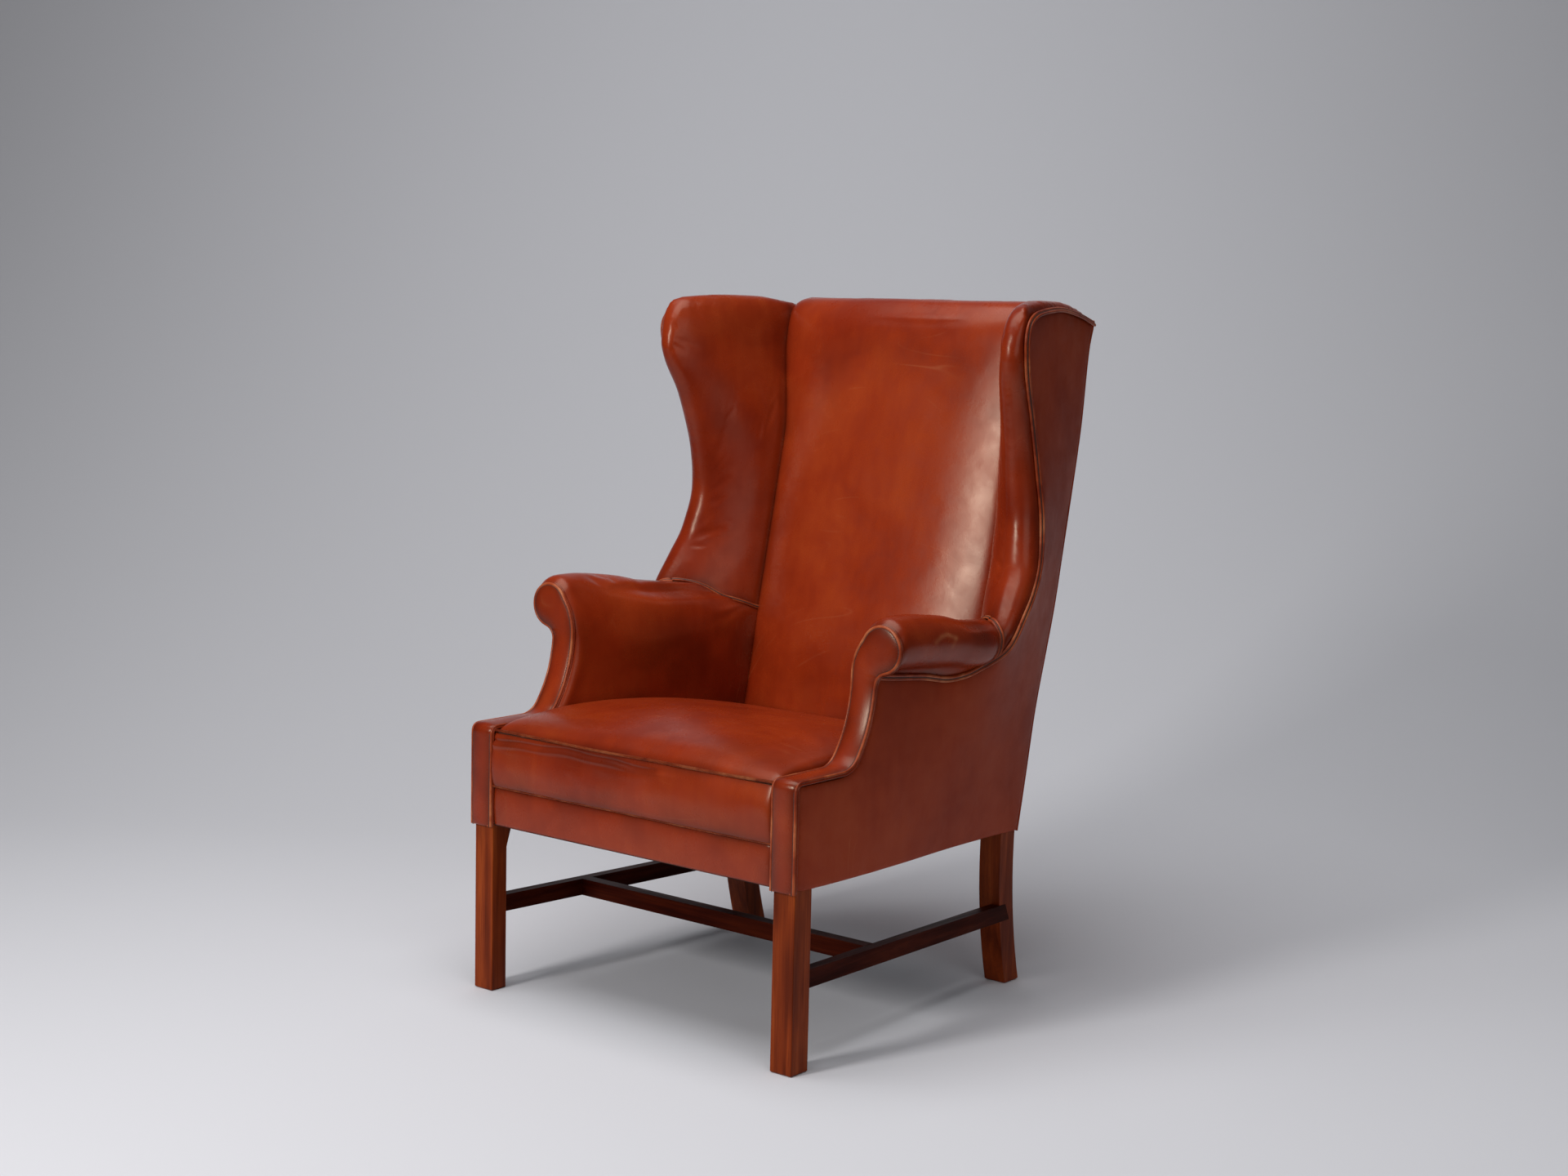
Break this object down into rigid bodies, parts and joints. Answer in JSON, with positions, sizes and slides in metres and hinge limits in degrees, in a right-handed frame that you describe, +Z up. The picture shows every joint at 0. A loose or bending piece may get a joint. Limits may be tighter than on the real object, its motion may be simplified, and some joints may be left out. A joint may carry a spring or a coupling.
{
  "type": "wing armchair",
  "caption": "High-backed wing armchair in fixed brown leather, with scrolled arms, square wooden legs and an H stretcher.",
  "frame": {"origin": "on the floor, at the centre of the footprint's box", "axes": "+Z up, +X to the sitter's left, the sitter faces -Y"},
  "size_m": [0.772, 0.8031, 1.1363],
  "materials": {
    "mahogany": "rubbed, low gloss",
    "beech": "sawn and planed, bare",
    "cognac_leather": "waxed, soft gloss",
    "outer_leather": "waxed, soft gloss",
    "piping_leather": "waxed, worn on the ridges",
    "hair_filling": "matted",
    "jute_webbing": "coarse woven",
    "hessian": "coarse woven",
    "spring_steel": "dull",
    "screw_steel": "dull",
    "under_cloth": "plain woven",
    "tack_steel": "blued"
  },
  "bodies": {
    "root": {"front_leg_left": "mahogany", "front_leg_right": "mahogany", "rear_leg_left": "mahogany", "rear_leg_right": "mahogany", "side_stretcher_left": "mahogany", "side_stretcher_right": "mahogany", "side_seat_rail_left": "beech", "side_seat_rail_right": "beech", "arm_stump_left": "beech", "arm_stump_right": "beech", "arm_board_left": "beech", "arm_board_right": "beech", "wing_post_left": "beech", "wing_post_right": "beech", "wing_rail_left": "beech", "wing_rail_right": "beech", "arm_front_strip_left": "cognac_leather", "arm_front_strip_right": "cognac_leather", "inside_arm_left": "cognac_leather", "inside_arm_right": "cognac_leather", "arm_roll_left": "cognac_leather", "arm_roll_right": "cognac_leather", "inside_wing_left": "cognac_leather", "inside_wing_right": "cognac_leather", "outside_panel_left": "outer_leather", "outside_panel_right": "outer_leather", "wing_piping_left": "piping_leather", "wing_piping_right": "piping_leather", "strip_piping_left": "piping_leather", "strip_piping_right": "piping_leather", "cross_stretcher": "mahogany", "front_seat_rail": "beech", "rear_seat_rail": "beech", "corner_blocks": "beech", "corner_block_screws": "screw_steel", "crest_rail": "beech", "lower_back_rail": "beech", "outside_back": "outer_leather", "back_webbing": "jute_webbing", "inside_back": "cognac_leather", "back_filling": "hair_filling", "seat_cover": "cognac_leather", "seat_wadding": "hair_filling", "seat_filling": "hair_filling", "seat_hessian": "hessian", "seat_springs": "spring_steel", "seat_webbing": "jute_webbing", "seat_front_border": "cognac_leather", "seat_edge_roll": "hair_filling", "front_rail_band": "cognac_leather", "rail_piping": "piping_leather", "seat_piping": "piping_leather", "under_cover": "under_cloth", "under_cover_tacks": "tack_steel"}
  },
  "joints": []
}
